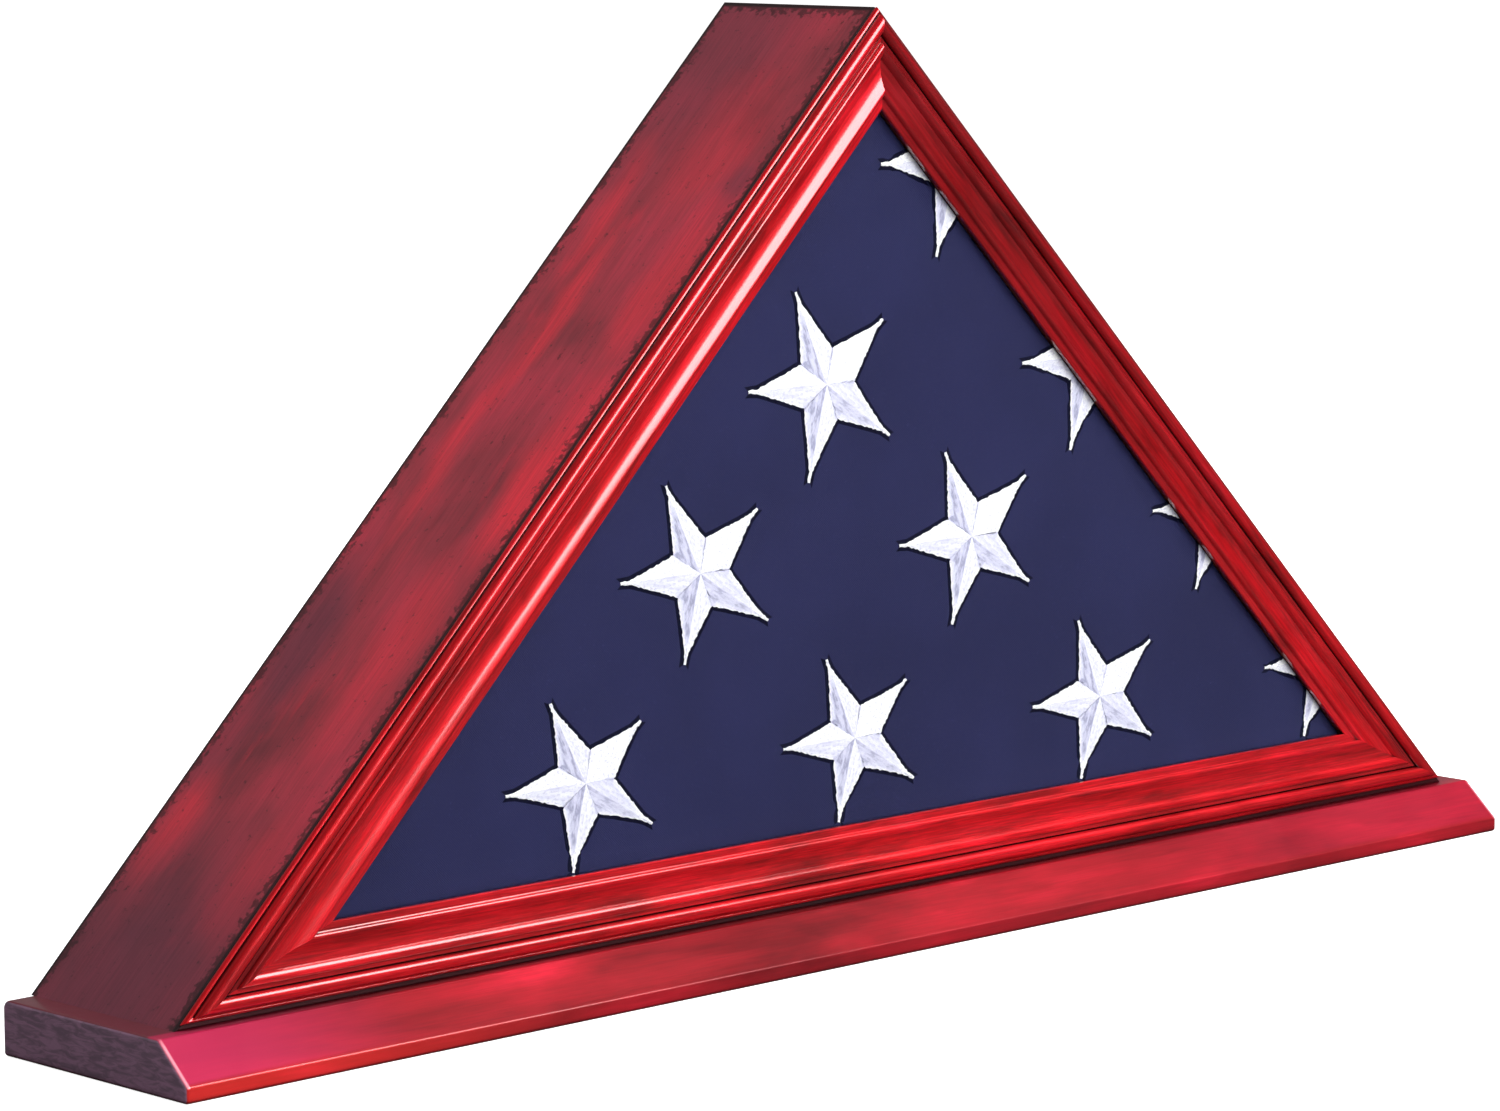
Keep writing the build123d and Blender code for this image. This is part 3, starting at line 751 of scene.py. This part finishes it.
def star(name, centre, wide, tall, seed):
    """One embroidered star: five ridged arms with a dark rim, a painted shadow, sunk into the cloth."""
    rng = random.Random(seed)
    points, faces, uvs, arm_shades, dark = [], [], [], [], []
    radius = (wide + tall) / 2
    lean = STAR_LEAN + LEAN_GROWTH * centre.x
    for arm in range(ARMS):
        angle = math.pi - arm * ARM_TURN
        reach = radius * rng.uniform(*ARM_REACH)
        axis = Vector((math.cos(angle), 0, math.sin(angle)))
        side = Vector((-math.sin(angle), 0, math.cos(angle)))
        start = len(points)
        for step in range(ARM_STEPS + 1):
            share = step / ARM_STEPS
            half = arm_half_width(share, radius)
            rim = RIM if share >= ARM_ROOT else 0.0
            wanders = STEADY_STEPS < step < ARM_STEPS
            left, right = (rng.uniform(-EDGE_WANDER, EDGE_WANDER) * MM * wanders for _ in range(2))
            for column, lane in enumerate(COLUMNS):
                on_rim = column in RIM_COLUMNS
                out = (half + (rim if on_rim else left if lane < 0 else right)) * lane
                height = -RIM_SINK if on_rim and rim else lane_height(lane, share)
                flat = axis * (reach * share) + side * out
                if on_rim and step == ARM_STEPS:
                    flat += axis * rim
                flat = Vector((flat.x * wide / radius + flat.z * lean, 0, flat.z * tall / radius))
                spot = centre + flat
                dip = front_dip(spot.x, spot.z)
                spot.y = FLAG_LOW.y + dip - height * min(1.0, (dip - 0.02 * MM) / STAR_RISE)
                points.append(spot)
                uvs.append((reach * share, out))
                arm_shades.append(lane_painted_shade(arm, lane, share))
        for step in range(ARM_STEPS):
            past_root = step / ARM_STEPS >= ARM_ROOT - 0.02
            for column in range(len(COLUMNS) - 1):
                a = start + step * len(COLUMNS) + column
                b = a + len(COLUMNS)
                faces.append((a, a + 1, b + 1, b))
                dark.append(past_root and column in (0, len(COLUMNS) - 2))
    made = piece(name, points, faces, [THREAD, SHADOW_RIM_CLOTH])
    mesh = made.data
    layer = mesh.uv_layers.new(name="stitch")
    for loop in mesh.loops:
        layer.data[loop.index].uv = uvs[loop.vertex_index]
    arm_shade = mesh.attributes.new("arm_shade", "FLOAT", "POINT")
    for index, value in enumerate(arm_shades):
        arm_shade.data[index].value = value
    # Faces on the rim get the dark painted-shadow cloth.
    for polygon, on_shadow_rim in zip(mesh.polygons, dark):
        polygon.material_index = 1 if on_shadow_rim else 0
    return made


def trim(made, triangle):
    """Cuts away what lies outside a triangle."""
    mesh = bmesh.new()
    mesh.from_mesh(made.data)
    for start, _, outward in edges(triangle):
        everything = mesh.verts[:] + mesh.edges[:] + mesh.faces[:]
        bmesh.ops.bisect_plane(mesh, geom=everything, plane_co=start, plane_no=outward, clear_outer=True)
    mesh.to_mesh(made.data)
    mesh.free()


def stars():
    """Every star, with the parts past the flag's folded edge cut away."""
    for row, (height, first, pitch, count, wide, tall) in enumerate(STAR_ROWS):
        for number in range(count):
            centre = Vector((first + pitch * number, 0, height))
            name = f"embroidered_star_{row + 1}{number + 1}"
            made = star(name, centre, wide, tall, seed=row * 10 + number)
            trim(made, inset(NECK, TRIM_INSET))
            yield made


# ---------------------------------------------------------------- floor, light and camera

FLOOR_REACH = 3.0
FLOOR_GLOW = 0.72
FLOOR_SEEN = ((0.94, 0.94, 0.94, 1), (0.97, 0.97, 0.97, 1))
FLOOR_FOR_MATT = (0.22, 0.21, 0.21, 1)
FLOOR_FOR_POLISHED = (0.015, 0.015, 0.015, 1)
SKY_SEEN = 1.1
SKY_FOR_MATT = 0.50
BACKDROP = (0.02, 0.17)
WHITE = (1, 1, 1, 1)
LAMP_AIM = Vector((0, 0, 0.15))

CAMERA_AZIMUTH = math.radians(-43.51)
CAMERA_ELEVATION = math.radians(7.82)
CAMERA_ROLL = math.radians(-0.33)
CAMERA_LENS = 130.15
CAMERA_DISTANCE = 1.9699
CAMERA_AIM = Vector((-0.0199, 0.0145, 0.1402))
CAMERA_CLIP = 200


def floor():
    """A white sweep that polished and matt surfaces see as a dark one, as with black card beside it."""
    tree = Tree("pale_floor")
    colour = tree.mix(tree.noise(tree.place(), 3.0, 2.0, 0.5), *FLOOR_SEEN)
    seen = tree.add("LightPath", "Is Camera Ray")
    mirrored = tree.add("LightPath", "Is Glossy Ray")
    card = tree.mix(mirrored, FLOOR_FOR_MATT, FLOOR_FOR_POLISHED)
    material = tree.principled({
        "Base Color": tree.mix(seen, card, colour), "Roughness": 0.9, "Emission Color": WHITE,
        "Emission Strength": tree.math("MULTIPLY", seen, FLOOR_GLOW),
    })
    signs = ((-1, -1), (1, -1), (1, 1), (-1, 1))
    points = [(x * FLOOR_REACH, y * FLOOR_REACH, 0) for x, y in signs]
    piece("floor", points, [(0, 1, 2, 3)], [material])


def sky():
    """White to the camera; dimmer for matt surfaces, and a soft white backdrop in polished ones."""
    tree = Tree("studio", "worlds")
    _, rearward, _ = tree.axes(tree.add("TexCoord", "Generated"))
    backdrop = tree.ranged(rearward, 0.0, 0.8, *BACKDROP)
    strength = tree.between(tree.add("LightPath", "Is Glossy Ray"), SKY_FOR_MATT, backdrop)
    strength = tree.between(tree.add("LightPath", "Is Camera Ray"), strength, SKY_SEEN)
    background = tree.add("Background", inputs={"Color": WHITE, "Strength": strength})
    bpy.context.scene.world = tree.finish(background, "World")


def direction(azimuth, elevation):
    """A direction away from the case: azimuth 0 is straight in front of the glass."""
    flat = math.cos(elevation)
    return Vector((math.sin(azimuth) * flat, -math.cos(azimuth) * flat, math.sin(elevation)))


def softbox(name, azimuth, elevation, distance, size, power, seen_by="matt"):
    """A rectangular lamp that faces the case, seen by matt or by polished surfaces alone."""
    light = bpy.data.lights.new(name, "AREA")
    light.shape = "RECTANGLE"
    light.size, light.size_y = size
    light.energy = power
    lamp = bpy.data.objects.new(name, light)
    away = direction(math.radians(azimuth), math.radians(elevation))
    lamp.location = LAMP_AIM + away * distance
    lamp.rotation_euler = away.to_track_quat("Z", "Y").to_euler()
    lamp.visible_glossy = seen_by == "polished"
    lamp.visible_diffuse = seen_by == "matt"
    bpy.context.scene.collection.objects.link(lamp)


def camera():
    """A long lens from the left front, a little above the case."""
    back = direction(CAMERA_AZIMUTH, CAMERA_ELEVATION)
    right = Vector((math.cos(CAMERA_AZIMUTH), math.sin(CAMERA_AZIMUTH), 0))
    up = back.cross(right)
    turn = Matrix.Rotation(CAMERA_ROLL, 3, back)
    pose = Matrix((turn @ right, turn @ up, back)).transposed().to_4x4()
    data = bpy.data.cameras.new("camera")
    data.lens = CAMERA_LENS
    data.clip_end = CAMERA_CLIP
    made = bpy.data.objects.new("camera", data)
    made.matrix_world = Matrix.Translation(CAMERA_AIM + back * CAMERA_DISTANCE) @ pose
    bpy.context.scene.collection.objects.link(made)
    bpy.context.scene.camera = made


# ---------------------------------------------------------------- build

NAVY = navy_cotton()
THREAD = satin_thread()
SHADOW_RIM_CLOTH = star_shadow_rim()

for side in SIDES:
    give(board_wood(side), "bottom_board" if side == "bottom" else f"{side}_side_board")
    give(rail_wood(side), f"{side}_frame_rail")
    strip_wood = plain_wood(f"{side}_strip_wood", side, srgb(150, 78, 52), srgb(96, 40, 30))
    give(strip_wood, f"{side}_glazing_strip")

give(plinth_wood(), "base_plinth")
give(plain_wood("panel_board", "bottom", srgb(104, 66, 44), srgb(70, 42, 30)), "back_panel")
give(clear_pane(), "window_pane")
turn_buttons = [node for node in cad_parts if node.endswith("_button")]
give(steel("zinc_plate", srgb(205, 200, 180), 900.0), "button_screws", "plinth_screws", *turn_buttons)
give(steel("bright_steel", srgb(190, 190, 192), 1200.0), "glazing_brads", "mitre_v_nails")

flag = folded_flag()
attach(flag, "case")
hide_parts("folded_flag")
for one in stars():
    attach(one, "case")

floor()
sky()
softbox("key", azimuth=8, elevation=30, distance=1.8, size=(2.0, 1.2), power=34)
softbox("side_fill", azimuth=68, elevation=40, distance=1.8, size=(0.9, 0.6), power=6)
softbox("overhead", azimuth=0, elevation=80, distance=1.8, size=(2.0, 2.0), power=11)
softbox("low_fill", azimuth=10, elevation=3, distance=2.2, size=(2.4, 0.5), power=10)
softbox("rear_fill", azimuth=158, elevation=22, distance=2.0, size=(2.0, 1.2), power=24)
softbox("sheen", azimuth=22, elevation=36, distance=1.7, size=(1.4, 0.9), power=39, seen_by="polished")
camera()
bpy.context.scene.view_settings.view_transform = "Standard"
